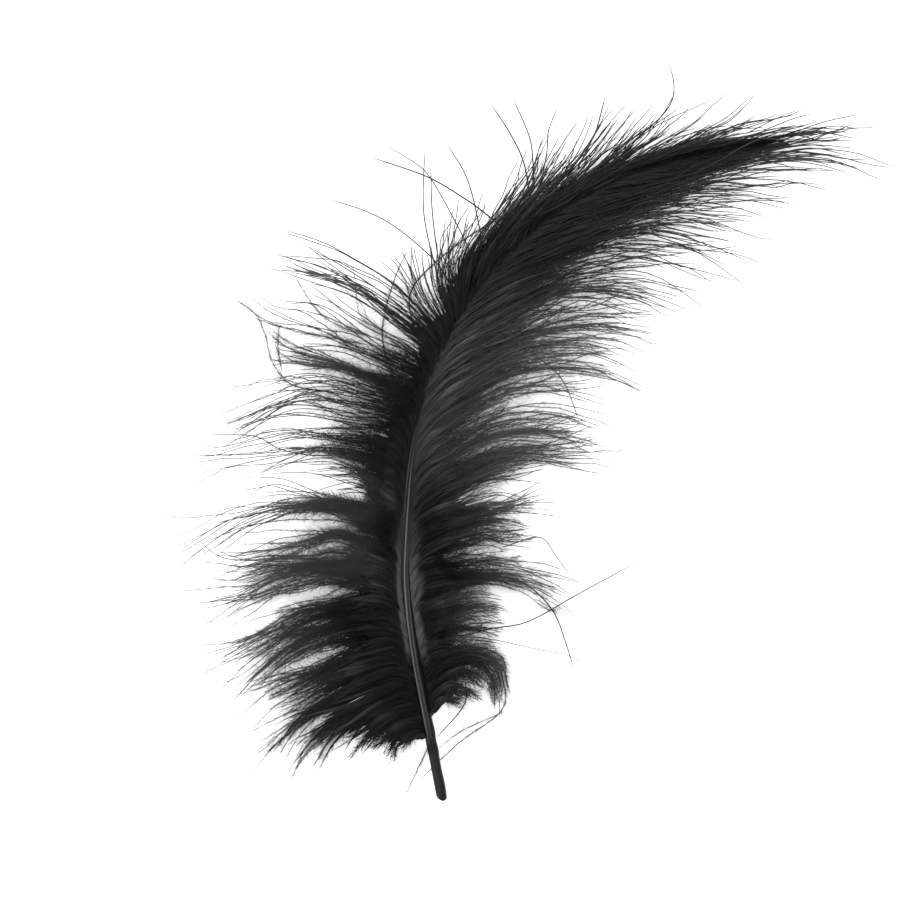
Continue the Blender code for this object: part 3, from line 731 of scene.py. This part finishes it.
def grow_barbs(roots, lines, tears, side, places, length, steps, freedom=1.0):
    """Paths of barbs rooted at these places, between their two nearest locks and drawn to one,
    wholly so where the vane is torn between the two."""
    count = len(places)
    lock = np.clip(np.searchsorted(roots, places) - 1, 0, len(roots) - 2)
    share = (places - roots[lock]) / (roots[lock + 1] - roots[lock])
    share = np.clip(share, -PAST_LOCKS, 1 + PAST_LOCKS)
    home = np.round(np.clip(share, 0, 1))
    clinging = chance.uniform(*CLINGING, len(roots) + 1)[lock + home.astype(int)]
    clinging = np.clip(clinging + chance.normal(0, CLINGING_VARIES, count), 0, 1)[:, None]
    run = np.linspace(0, 1, steps)[None, :] * length[:, None]
    torn = (np.searchsorted(tears, roots[lock]) != np.searchsorted(tears, roots[lock + 1]))[:, None]
    drawing = np.where(torn, ease(*TORN_RUN, run), clinging * ease(*CLINGING_RUN, run))
    drawn = share[:, None] + (home - share)[:, None] * drawing * freedom
    one, two = along_lines(lines, lock, run), along_lines(lines, lock + 1, run)
    paths = one + (two - one) * drawn[..., None]

    # The root sits on the shaft's flank, or over its top where the vane closes over it
    _, left, up = shaft_axes(places)
    radius = at(SHAFT_RADII, places)[:, None]
    over = ease(*CLOSING, places)[:, None]
    flank = side * left * radius * (ROOT_ASIDE - ROOT_ACROSS * over * chance.random((count, 1)))
    root = on_shaft(places) + flank + up * radius * (ROOT_UP + ROOT_HIGHER * over)
    paths = paths + (root - paths[:, 0])[:, None] * (1 - run[..., None]) ** 3

    # Every barb bends and drifts a little in its own way; neighbours share part of it
    def each(spread):
        own = chance.normal(0, spread, count)
        drawn_on = chance.normal(0, spread, count + NEIGHBOURS - 1)
        shared = np.convolve(drawn_on, np.ones(NEIGHBOURS) / NEIGHBOURS**0.5, "valid")
        return (OWN_WAY * own + SHARED_WAY * shared)[:, None]

    reach = lengths_of(paths)[:, None]
    across = unit(np.cross(UP, paths[:, -1] - paths[:, 0]))[:, None]
    passed = run / length[:, None] * reach
    turns = [2 * math.pi / chance.uniform(*wave, (count, 1)) for wave in (SLOW_WAVE, QUICK_WAVE)]
    phases = chance.uniform(0, 2 * math.pi, (3, count, 1))
    slow = np.sin(passed * turns[0] + phases[0])
    quick = np.sin(passed * turns[1] + phases[1])
    fade = ease(*WAVES_GROW, passed)
    drift = each(DRIFT_ASIDE) * run**DRIFT_POWER * passed
    drift = drift + each(SLOW_ASIDE) * slow * fade + each(QUICK_ASIDE) * quick * fade
    lift = each(DRIFT_UP) * run * passed
    lift = lift + each(SLOW_UP) * np.sin(passed * turns[0] + phases[2]) * fade
    paths = paths + across * drift[..., None] * freedom
    paths[..., 2] += lift * freedom
    paths[..., 2] = LOWEST + np.logaddexp(0, (paths[..., 2] - LOWEST) * HARDNESS) / HARDNESS
    return paths


def grow_layer(vane, places, length, steps, drop=0.0, freedom=1.0):
    """Barbs of one kind as (places, lengths, paths), laid lower by the drop if there is one."""
    paths = grow_barbs(*vane, places, length, steps, freedom)
    if drop:
        paths[..., 2] = np.maximum(paths[..., 2] - drop, LOWEST_MAT)
    return places, length, paths


def root_places(roots, spacing):
    """Places of roots along the shaft, at the spacing given for each distance."""
    spots = np.linspace(roots[0], roots[-1], GAP_STEPS)
    crowd = np.concatenate([[0], np.cumsum(np.diff(spots) / at(spacing, spots[1:]))])
    count = int(crowd[-1])
    return np.interp(np.arange(count) + chance.random(count), crowd, spots)


def lock_places(roots, handful):
    """Places of the long barbs, a handful near each lock's root."""
    halfway = (roots[1:] + roots[:-1]) / 2
    edges = np.concatenate([roots[:1] - LOCK_EDGE, halfway, roots[-1:] + LOCK_EDGE])
    number = 2 + chance.poisson(at(handful, roots) - 2)
    reach = np.minimum(edges[1:] - edges[:-1], WIDEST_LOCK)
    spread = chance.uniform(-0.5, 0.5, number.sum()) * np.repeat(reach, number)
    middle = np.clip(roots, edges[:-1] + reach / 2, edges[1:] - reach / 2)
    return np.sort(np.repeat(middle, number) + spread)


def hair_tubes(paths, radii, length, flatness=1.0):
    """Closed three-sided tubes or blades along the paths: corners, triangles and chart. The
    chart's first way runs along a barb, as a share of its lock."""
    count, steps = paths.shape[:2]
    along = unit(np.gradient(paths, axis=1))
    side = unit(np.cross(UP, along))
    up = np.cross(along, side)
    corners = []
    for turn in np.radians([90, 210, 330]):
        offset = math.cos(turn) * side + math.sin(turn) * up * flatness
        corners.append(paths + offset * radii[..., None])
    corners = np.stack(corners, axis=2).reshape(-1, 3)
    index = np.arange(count * steps * 3).reshape(count, steps, 3)
    row = (np.arange(count) / count)[:, None]
    u = np.linspace(0, 1, steps)[None] * np.minimum(length, 1.0)[:, None]
    v = np.broadcast_to(row, (count, steps))
    tall = STRIP / count
    triangles, chart = [], []
    for k in range(3):
        n = (k + 1) % 3
        a, b = index[:, :-1, k], index[:, :-1, n]
        c, d = index[:, 1:, n], index[:, 1:, k]
        low, high = v[:, :-1] + tall * k / 3, v[:, :-1] + tall * (k + 1) / 3
        near, far = u[:, :-1], u[:, 1:]
        for trio, places in (
            ((a, b, c), ((near, low), (near, high), (far, high))),
            ((a, c, d), ((near, low), (far, high), (far, low))),
        ):
            triangles.append(np.stack(trio, axis=-1).reshape(-1, 3))
            spots = [np.stack(place, axis=-1) for place in places]
            chart.append(np.stack(spots, axis=-2).reshape(-1, 3, 2))
    for end, order in ((0, (0, 2, 1)), (-1, (0, 1, 2))):
        triangles.append(index[:, end][:, order])
        spot = np.stack([u[:, end], v[:, end]], axis=-1)[:, None]
        chart.append(spot + np.array([[0, 0], [0, tall], [END_STRIP, tall / 2]])[None])
    return corners, np.concatenate(triangles), np.concatenate(chart)


def fluff_of(barbs, downy_shares, thickness, number):
    """The fluff of groups of barbs, each given as (places, lengths, paths, where it starts)."""
    weights = []
    for places, length, paths, start in barbs:
        downy = np.clip(at(downy_shares, places) / length, 0, MOST_DOWNY)
        weights.append(lengths_of(paths) * np.maximum(downy - start, 0) * at(thickness, places))
    shares = np.cumsum([0] + [weight.sum() for weight in weights])
    marks = np.round(shares / shares[-1] * number).astype(int)
    return [
        fluff_hairs(*group, downy_shares, weight, amount)
        for group, weight, amount in zip(barbs, weights, np.diff(marks))
    ]


def fluff_hairs(
    places, length, paths, start, downy_shares, weight, number, leans=WIDE_LEANS, radius=FLUFF_RADIUS
):
    """Each hair is a slim four-sided spike that leans out from its barb."""
    count, steps = paths.shape[:2]
    barb = chance.choice(count, number, p=weight / weight.sum())
    downy = np.clip(at(downy_shares, places) / length, 0, MOST_DOWNY)[barb]
    close = chance.random(number) < CLOSE_FLUFF
    ends = np.where(close, CLOSE_TO, downy)
    u = start[barb] + np.maximum(ends - start[barb], 0) * chance.beta(*FLUFF_PLACES, number)
    step = np.minimum((u * (steps - 1)).astype(int), steps - 2)
    part = (u * (steps - 1) - step)[:, None]
    near, far = paths[barb, step], paths[barb, step + 1]
    base = near + (far - near) * part
    along = unit(far - near)
    side = unit(np.cross(UP, along)) * chance.choice([-1.0, 1.0], (number, 1))
    lean = np.where(close, chance.uniform(*CLOSE_LEANS, number), chance.uniform(*leans, number))
    lean = np.radians(lean)[:, None]
    roll = np.radians(chance.normal(0, FLUFF_ROLL, number))[:, None]
    way = unit(np.cos(lean) * along + np.sin(lean) * (np.cos(roll) * side + np.sin(roll) * UP))
    out = u * length[barb] / at(downy_shares, places[barb])
    shorter = FLUFF_SHORTENS * np.clip(out, 0, SHORTENS_UP_TO)
    reach = at(FLUFF_LENGTHS, places[barb]) * (1 - shorter)
    reach = reach * chance.lognormal(*FLUFF_VARIES, number)
    tip = base + way * reach[:, None]
    tip[:, 2] = np.maximum(tip[:, 2], FLUFF_LOWEST)
    sideways = unit(np.cross(way, UP)) * radius
    upward = unit(np.cross(sideways, way)) * radius
    foot = [base - sideways, base + sideways, base + upward * FOOT_HEIGHT]
    corners = np.stack([*foot, tip], axis=1)
    index = np.arange(number)[:, None] * corners.shape[1]
    triangles = [index + np.array(t)[None] for t in ((0, 1, 2), (1, 0, 3), (2, 1, 3), (0, 2, 3))]
    row, tall = barb / count, STRIP / count
    run = u * (1 - HAIR_STRIP) * np.minimum(length[barb], 1.0)
    spot = np.stack([run, row], axis=-1)[:, None]
    shape = np.array([[0.0, 0.0], [HAIR_STRIP / 2, tall], [HAIR_STRIP, 0.0]])[None]
    chart = [spot + shape] * HAIR_TRIANGLES
    return corners.reshape(-1, 3), np.concatenate(triangles), np.concatenate(chart)


def joined_mesh(name, parts, flat_parts=()):
    """One mesh from sets of corners, triangles and charts, all shaded smooth but the flat parts."""
    shift, corners, triangles, chart, smooth = 0, [], [], [], []
    for number, (part_corners, part_triangles, part_chart) in enumerate(parts):
        corners.append(part_corners)
        triangles.append(part_triangles + shift)
        chart.append(part_chart)
        smooth.append(np.full(len(part_triangles), number not in flat_parts))
        shift += len(part_corners)
    corners, triangles = np.concatenate(corners) * MM, np.concatenate(triangles)
    mesh = bpy.data.meshes.new(name)
    mesh.vertices.add(len(corners))
    mesh.vertices.foreach_set("co", corners.ravel())
    mesh.loops.add(triangles.size)
    mesh.loops.foreach_set("vertex_index", triangles.ravel().astype(np.int32))
    mesh.polygons.add(len(triangles))
    mesh.polygons.foreach_set("loop_start", np.arange(0, triangles.size, 3, dtype=np.int32))
    mesh.polygons.foreach_set("use_smooth", np.concatenate(smooth))
    mesh.update(calc_edges=True)
    layer = mesh.uv_layers.new(name="OFBake")
    layer.data.foreach_set("uv", np.concatenate(chart).astype(np.float32).ravel())
    return mesh


# The down's own grey, from strand to strand, and how rough it is
DOWN_TONES = [(0.35, (0.006, 0.006, 0.0067)), (0.75, (0.0105, 0.0105, 0.0116))]
DOWN_ROUGHNESS = (0.5, 0.8)
# Both change this often along a strand and across all of them, this finely
STRAND_STRETCH, STRAND_DETAIL = (1.5, 90.0), 2.0
# Painted sheen: part of the way up each vane the down catches the light and is paler: (place up the
# sheet in metres, how much paler)
LEFT_PAINTED_SHEEN = [
    (-0.028, 0.0), (-0.021, 0.85), (-0.013, 0.9), (-0.006, 0.2), (0.012, 0.2), (0.05, 0.15),
]
RIGHT_PAINTED_SHEEN = [(-0.012, 0.0), (-0.002, 1.0), (0.013, 1.0), (0.027, 0.22), (0.05, 0.26)]
# How much of that shows by the share of a strand, out from the shaft
LEFT_SHEEN_OUTWARD = [(0.0, 0.0), (0.12, 0.05), (0.24, 0.9), (0.45, 0.7), (1.0, 0.3)]
RIGHT_SHEEN_OUTWARD = [(0.0, 0.4), (0.3, 1.0)]
PAINTED_SHEEN_SHOWS = 0.6
# Painted sheen on the bare bases of the barbs, which show paler beside the lower shaft, this far out
# on each side
PAINTED_BASE_SHEEN = [(-0.037, 0.0), (-0.033, 1.0), (-0.023, 0.9), (-0.016, 0.3), (-0.008, 0.0)]
LEFT_BASE_SHEEN_REACH, RIGHT_BASE_SHEEN_REACH = 0.04, 0.11
# Towards its tip a barb thins and lets light through, painted as a paler colour: how much paler by its
# share, and how much of that shows by the place up the sheet
PAINTED_THROUGH_LIGHT = [(0.3, 0.0), (0.7, 0.5), (1.0, 1.0)]
PAINTED_THROUGH_LIGHT_UP = [(-0.048, 0.15), (-0.03, 1.0), (0.01, 1.0), (0.03, 0.55), (0.055, 0.4)]
# The colours at their palest: painted sheen on the vane and on the bare bases, and painted light
# through the tips
PAINTED_SHEEN_GREY, BASE_SHEEN_GREY, THROUGH_LIGHT_GREY = (0.12, 0.12, 0.126), (0.1, 0.097, 0.1), (0.16, 0.16, 0.165)


def down_finish(name, pale, outward, base):
    """Dyed down: matt black, a little greyer from strand to strand, paler in places from painted sheen
    and from painted light through the thin tips. pale and outward are the stops of the painted sheen
    on the vane, base the share of a lock that the painted sheen on its bare bases takes."""
    down = Finish(name)
    strands = down.noise(STRAND_STRETCH, STRAND_DETAIL)
    tone = down.tones(strands, "Fac", DOWN_TONES)
    where = down.node("ShaderNodeTexCoord")
    split = down.node("ShaderNodeSeparateXYZ")
    down.join(where, "Object", split, "Vector")
    chart = down.node("ShaderNodeSeparateXYZ")
    down.join(down.chart((1.0, 1.0)), "Vector", chart, "Vector")

    def share(source, output, stops):
        """A number that follows the stops: straight lines between (place, amount)."""
        low, high = stops[0][0], stops[-1][0]
        spread = down.node("ShaderNodeMapRange", **{"From Min": low, "From Max": high})
        down.join(source, output, spread, "Value")
        evened = [((place - low) / (high - low), much) for place, much in stops]
        return down.amounts(spread, "Result", evened)

    def times(one, two):
        """Two amounts multiplied, the second a node or a fixed number."""
        product = down.node("ShaderNodeMath", operation="MULTIPLY")
        down.join(one, 0, product, 0)
        if isinstance(two, float):
            product.inputs[1].default_value = two
        else:
            down.join(two, 0, product, 1)
        return product

    base_out = [(0.0, 1.0), (base, 0.9), (1.5 * base, 0.0)]
    # Painted sheen on the vane, painted sheen on the bare bases and painted light through the thin
    # tips, each laid over the strands' own grey
    vane = times(times(share(split, "Y", pale), share(chart, "X", outward)), PAINTED_SHEEN_SHOWS)
    base_sheen = times(share(split, "Y", PAINTED_BASE_SHEEN), share(chart, "X", base_out))
    ends = times(share(chart, "X", PAINTED_THROUGH_LIGHT), share(split, "Y", PAINTED_THROUGH_LIGHT_UP))
    colour = tone.outputs["Color"]
    for amount, grey in ((vane, PAINTED_SHEEN_GREY), (base_sheen, BASE_SHEEN_GREY), (ends, THROUGH_LIGHT_GREY)):
        colour = down.mix(amount.outputs[0], colour, grey)
    down.tree.links.new(colour, down.shader.inputs["Base Color"])
    down.roughness(strands, *DOWN_ROUGHNESS)
    down.shader.inputs["Specular IOR Level"].default_value = SHINE
    return down.material


# The two sides' materials differ only in where their painted sheen lies
downs = {
    "left": down_finish("left_down", LEFT_PAINTED_SHEEN, LEFT_SHEEN_OUTWARD, LEFT_BASE_SHEEN_REACH),
    "right": down_finish("right_down", RIGHT_PAINTED_SHEEN, RIGHT_SHEEN_OUTWARD, RIGHT_BASE_SHEEN_REACH),
}
vanes = {
    "left": (LEFT_LOCKS, LEFT_TEARS, 1, LEFT_FULL, LEFT_MATTED, LEFT_BARBS_A_LOCK),
    "right": (RIGHT_LOCKS, RIGHT_TEARS, -1, RIGHT_FULL, RIGHT_MATTED, RIGHT_BARBS_A_LOCK),
}
downiness = {"left": (LEFT_DOWNY, LEFT_FLUFF), "right": (RIGHT_DOWNY, RIGHT_FLUFF)}
for side_name, (locks, tears, side, full, matted, handful) in vanes.items():
    roots, lines = lock_lines(locks, side)
    vane = roots, lines, tears, side
    places = lock_places(roots, handful)
    length = chance.uniform(*LONG_SHARES, len(places))
    long_barbs = grow_layer(vane, places, length, LONG_STEPS)
    places = root_places(roots, SHORT_BARB_GAP)
    length = at(full, places) * chance.uniform(*SHORT_SHARES, len(places))
    short_barbs = grow_layer(vane, places, np.minimum(length, LONGEST_SHORT), SHORT_STEPS)
    places = root_places(roots, MAT_GAP)
    length = at(matted, places) * chance.uniform(*MAT_SHARES, len(places))
    mats = grow_layer(vane, places, np.minimum(length, LONGEST_MAT), MAT_STEPS, MAT_DROP)
    places = root_places(roots, UNDERLAY_GAP)
    length = at(matted, places) * UNDERLAY_SHARE
    underlay = grow_layer(vane, places, length, MAT_STEPS, UNDERLAY_DROP, UNDERLAY_FREEDOM)
    for zone, (low, high) in ZONES.items():
        barbs, parts = [], []
        for kind, radii, flatness in (
            (long_barbs, BARB_RADII, 1.0),
            (short_barbs, SHORT_BARB_RADII, 1.0),
            (mats, MAT_RADII, MAT_FLATNESS),
            (underlay, UNDERLAY_RADII, MAT_FLATNESS / 2),
        ):
            here = (kind[0] >= low) & (kind[0] < high)
            places, length, paths = (part[here] for part in kind)
            thick = np.broadcast_to(at(radii, np.linspace(0, 1, paths.shape[1])), paths.shape[:2])
            widths = MAT_WIDTHS if flatness < 1 else BARB_WIDTHS
            thick = thick * at(widths, places)[:, None]
            parts.append(hair_tubes(paths, thick, length, flatness))
            if flatness == 1:
                barbs.append((places, length, paths, FLUFF_HIDDEN * at(matted, places) / length))
        used = sum(len(part[1]) for part in parts)
        spare = (MOST_TRIANGLES[side_name][zone] - used) // HAIR_TRIANGLES
        parts.extend(fluff_of(barbs, *downiness[side_name], spare))
        # The third and the fourth kind are blades, which are shaded flat
        blades = (2, 3)
        mesh = joined_mesh(f"{side_name}_down_{zone}", parts, blades)
        put_in_scene(mesh.name, mesh, downs[side_name])


# Stray barbs: single barbs that sprang out of their locks and cross the others, some bare, some
# still downy. Hairs like the rest, laid one by one.

# Each stray barb as (radius, how downy, points from inside the vane to the tip)
STRAY_BARBS = [
    (0.02, 0.9, (-33, 12.5), (-36.5, 13.6), (-39.5, 15.6), (-41, 17.4)),
    (0.02, 0.9, (-33, 13.2), (-37, 14.8), (-40, 17)),
    (0.02, 0.8, (-34, 11.6), (-37, 12.2), (-39.4, 13.8)),
    (0.02, 0.7, (1.8, -26), (3.6, -26.8), (5.6, -28.3)),
    (0.02, 0.7, (2.4, -26.6), (4.2, -27.8), (6.2, -27.8)),
    (0.05, 0, (-36, -20.2), (-42, -20), (-48, -19.5), (-52, -16.8)),
    (0.045, 0, (-36, -21.5), (-43, -25), (-51, -30.5)),
    (0.045, 0, (-42, -23.8), (-49, -24.3), (-55, -24.8)),
    (0.045, 0, (-42, -25.2), (-48, -26.3), (-53, -26.8)),
    (0.045, 0, (-25, -8.6), (-32, -6.2), (-37, -5.8), (-41, -6.2)),
    (0.055, 0, (-30, -3.2), (-34.5, -3), (-39, -2), (-43, 0), (-51, 0.2)),
    (0.06, 0.2, (-26, 3.2), (-30, 4.3), (-36, 5), (-41, 4.3), (-47.5, 2)),
    (0.03, 1, (-31, 7), (-37, 8.3), (-40, 12), (-41, 16), (-42.6, 19.5), (-46, 22)),
    (0.03, 1, (-24, 14.5), (-30, 15.7), (-36, 16.8), (-41, 18.5), (-46, 22)),
    (0.035, 0.9, (-38.5, 10.5), (-39, 14), (-38.7, 17.5)),
    (0.02, 1, (-24, 15.8), (-30, 18), (-33.5, 21), (-36.8, 26.2)),
    (0.02, 0.4, (-22, 15.5), (-26, 19.5), (-26.6, 24), (-27.2, 28.5)),
    (0.02, 0.4, (-21.5, 16), (-24.5, 18.5), (-26, 21.5), (-30, 24.5)),
    (0.06, 0, (-19, 20.5), (-22.5, 23), (-28, 26.6), (-34, 30.3)),
    (0.06, 0, (-17, 21), (-21, 24.7), (-27, 28.3), (-32, 31), (-38.5, 33.2)),
    (0.065, 0, (-11.5, 24.5), (-14.3, 28.5), (-20, 33.4), (-25, 36), (-31, 37.8)),
    (0.05, 0.7, (-18.5, 6), (-21.2, 11), (-22.4, 16), (-21.8, 20.5), (-20, 26), (-18, 30)),
    (0.04, 0.5, (-17.5, 21), (-19.2, 26), (-21.2, 28.8)),
    (0.035, 0.5, (-15.5, 20), (-17.6, 25), (-17.6, 30.4)),
    (0.07, 0, (-12.2, 20), (-14, 27.5), (-15.5, 34), (-15.8, 39), (-15.5, 45.5)),
    (0.07, 0, (-12, 21), (-13.5, 29), (-14.4, 36.5), (-14.6, 44)),
    (0.08, 0, (-2, 32.5), (-6, 35.8), (-9, 38), (-15, 41.5), (-24, 44.5)),
    (0.06, 0, (-7.5, 28), (-10.5, 34), (-14.5, 41), (-17, 43.5), (-22, 46.5)),
    (0.07, 0, (-6.5, 32), (-8, 38.5), (-9.5, 42.5), (-12, 46.5)),
    (0.07, 0.7, (-16.5, 15), (-18, 20.5), (-17.3, 24), (-14, 27.5), (-9.5, 31.2), (-3, 35.5)),
    (0.08, 0, (1.5, 37), (0.3, 43.5), (-2, 48.5), (-5, 53.3)),
    (0.07, 0, (2, 39.5), (1.6, 46.5), (0.5, 50), (-1.5, 54.2)),
    (0.06, 0, (3, 40), (4, 45.5), (4.3, 49), (5.8, 53)),
    (0.06, 0, (2.5, 39.5), (6, 46), (9, 50.3)),
    (0.08, 0, (9, 43), (11.5, 48), (12.2, 50), (13.1, 53.8)),
    (0.05, 0, (9, 43.5), (13.5, 49.5), (17, 53.5)),
    (0.05, 0, (8, 41), (12.5, 46), (18.8, 53)),
    (0.07, 0, (11, 42), (16, 46.5), (21, 50), (23.7, 53), (24.2, 56), (23.2, 59.5)),
    (0.05, 0, (15, 45), (22, 49.8), (31, 54)),
    (0.05, 0, (36, 48.5), (41, 51), (44.5, 52.4)),
    (0.07, 0, (-17, -31), (-10, -32), (-5, -30.9), (1, -29.8), (9, -25.4), (18.5, -20.2)),
    (0.08, 0, (-10, -22), (-2, -22.8), (2, -24.8), (5.2, -28.4), (7, -33), (8.3, -37.2)),
    (0.04, 0, (-10, -32), (-4, -32.6), (3.5, -34.2), (7, -35), (11, -37)),
    (
        0.05, 0.7, (-14, -36), (-8, -34.2), (-4.6, -36), (-2.8, -40), (-3.4, -44.2), (-10, -49),
        (-17, -55.5),
    ),
    (0.06, 0.3, (-9, -39.5), (-9.3, -43), (-13.5, -48)),
    (0.055, 0, (-3, -17.8), (2.8, -16.2), (5.6, -19.5), (7.8, -22.5)),
    (0.055, 0, (2, 13), (5, 10.6), (7.2, 7.5), (9, 3)),
    (0.03, 0.8, (-14.2, -48.5), (-15.5, -51), (-18.5, -57)),
    (0.03, 0.5, (-13.2, -50), (-10, -47.5), (-3, -44)),
]
STRAY_STEPS = 28
# They start at the first height, and their middles and tips are somewhere between the others
STRAY_START, STRAY_HEIGHTS = 3.2, (2.0, 7.0)
# A running mean of so many steps rounds the bend in the middle
BEND_STEPS = 7
STRAY_TAPER = [(0, 1.8), (0.6, 1.7), (0.9, 1.5), (1, 0.7)]
STRAY_FLUFF, STRAY_LEANS, STRAY_FLUFF_RADIUS = 5_000, (8, 42), 0.01
# Their fluff is like that of barbs rooted here, from this share of their length on
STRAY_DOWN_AT, STRAY_DOWN_START = 24.0, 0.05

heights = chance.uniform(*STRAY_HEIGHTS, (len(STRAY_BARBS), 2))
strays = []
for (radius, downy, *points), (middle, tip) in zip(STRAY_BARBS, heights):
    u = np.linspace(0, 1, STRAY_STEPS)
    x, y = smooth_steps(points, u)
    z = np.interp(u, [0, 0.5, 1], [STRAY_START, middle, tip])
    z = np.convolve(np.pad(z, BEND_STEPS // 2, "edge"), np.ones(BEND_STEPS) / BEND_STEPS, "valid")
    strays.append(np.stack([x, y, z], axis=-1))
strays = np.array(strays)
thick = np.array([barb[0] for barb in STRAY_BARBS])[:, None]
taper = at(STRAY_TAPER, np.linspace(0, 1, STRAY_STEPS))
downy = np.array([barb[1] for barb in STRAY_BARBS])
whole = np.ones(len(strays))
places, start = whole * STRAY_DOWN_AT, whole * STRAY_DOWN_START
group = places, whole, strays, start, LEFT_DOWNY, lengths_of(strays) * downy, STRAY_FLUFF
fluff = fluff_hairs(*group, STRAY_LEANS, STRAY_FLUFF_RADIUS)
mesh = joined_mesh("stray_barbs", [hair_tubes(strays, thick * taper, whole), fluff])
put_in_scene(mesh.name, mesh, downs["left"])


# The sheet: smooth white paper, cut far wider than the picture. The feather only lies on it, so it
# is stage. Soft light comes from all round and from a lamp at the upper left, and the camera looks
# straight down.
SHEET_SIDE = 1200.0
SHEET_TONES = [(0.3, (0.9, 0.9, 0.9)), (0.7, (0.93, 0.93, 0.93))]
SHEET_GRAIN, SHEET_DETAIL = 900.0, 3.0
SHEET_ROUGHNESS, SHEET_SHINE, SHEET_GLOW = 0.9, 0.1, 0.55
SKY_LIGHT = 0.7
# In metres and watts
LAMP_PLACE, LAMP_SIDE, LAMP_POWER = (-0.35, 0.25, 0.9), 0.9, 9.0
CAMERA_HEIGHT = 404.0
FRAME_MIDDLE = (-11.52, -2.24)
LENS, SENSOR = 100.0, 36.0
WHITE = (1.0, 1.0, 1.0, 1.0)


def pale_finish():
    """White paper with a faint grain, which glows a little to stay white in its own shadows."""
    paper = Finish("pale_sheet")
    where = paper.node("ShaderNodeTexCoord")
    grain = paper.node("ShaderNodeTexNoise", Scale=SHEET_GRAIN, Detail=SHEET_DETAIL)
    paper.join(where, "Object", grain, "Vector")
    paper.join(paper.tones(grain, "Fac", SHEET_TONES), "Color", paper.shader, "Base Color")
    paper.shader.inputs["Roughness"].default_value = SHEET_ROUGHNESS
    paper.shader.inputs["Emission Color"].default_value = WHITE
    paper.shader.inputs["Emission Strength"].default_value = SHEET_GLOW
    paper.shader.inputs["Specular IOR Level"].default_value = SHEET_SHINE
    return paper.material


def lay_sheet():
    """One flat square of the paper at the feather's underside."""
    shape = bmesh.new()
    bmesh.ops.create_grid(shape, x_segments=1, y_segments=1, size=SHEET_SIDE / 2 * MM)
    mesh = bpy.data.meshes.new("sheet")
    shape.to_mesh(mesh)
    shape.free()
    sheet = bpy.data.objects.new("sheet", mesh)
    bpy.context.scene.collection.objects.link(sheet)
    mesh.materials.append(pale_finish())


lay_sheet()

world = bpy.data.worlds.new("soft_light")
world.use_nodes = True
sky = world.node_tree.nodes["Background"]
sky.inputs["Color"].default_value = WHITE
sky.inputs["Strength"].default_value = SKY_LIGHT
bpy.context.scene.world = world

lamp = bpy.data.lights.new("softbox", "AREA")
lamp.shape = "SQUARE"
lamp.size = LAMP_SIDE
lamp.energy = LAMP_POWER
softbox = bpy.data.objects.new("softbox", lamp)
softbox.location = LAMP_PLACE
softbox.rotation_euler = (-softbox.location).to_track_quat("-Z", "Y").to_euler()
bpy.context.scene.collection.objects.link(softbox)

view = bpy.data.cameras.new("camera")
view.lens = LENS
view.sensor_width = SENSOR
camera = bpy.data.objects.new("camera", view)
camera.location = (FRAME_MIDDLE[0] * MM, FRAME_MIDDLE[1] * MM, CAMERA_HEIGHT * MM)
bpy.context.scene.collection.objects.link(camera)
bpy.context.scene.camera = camera
bpy.context.scene.view_settings.view_transform = "Standard"
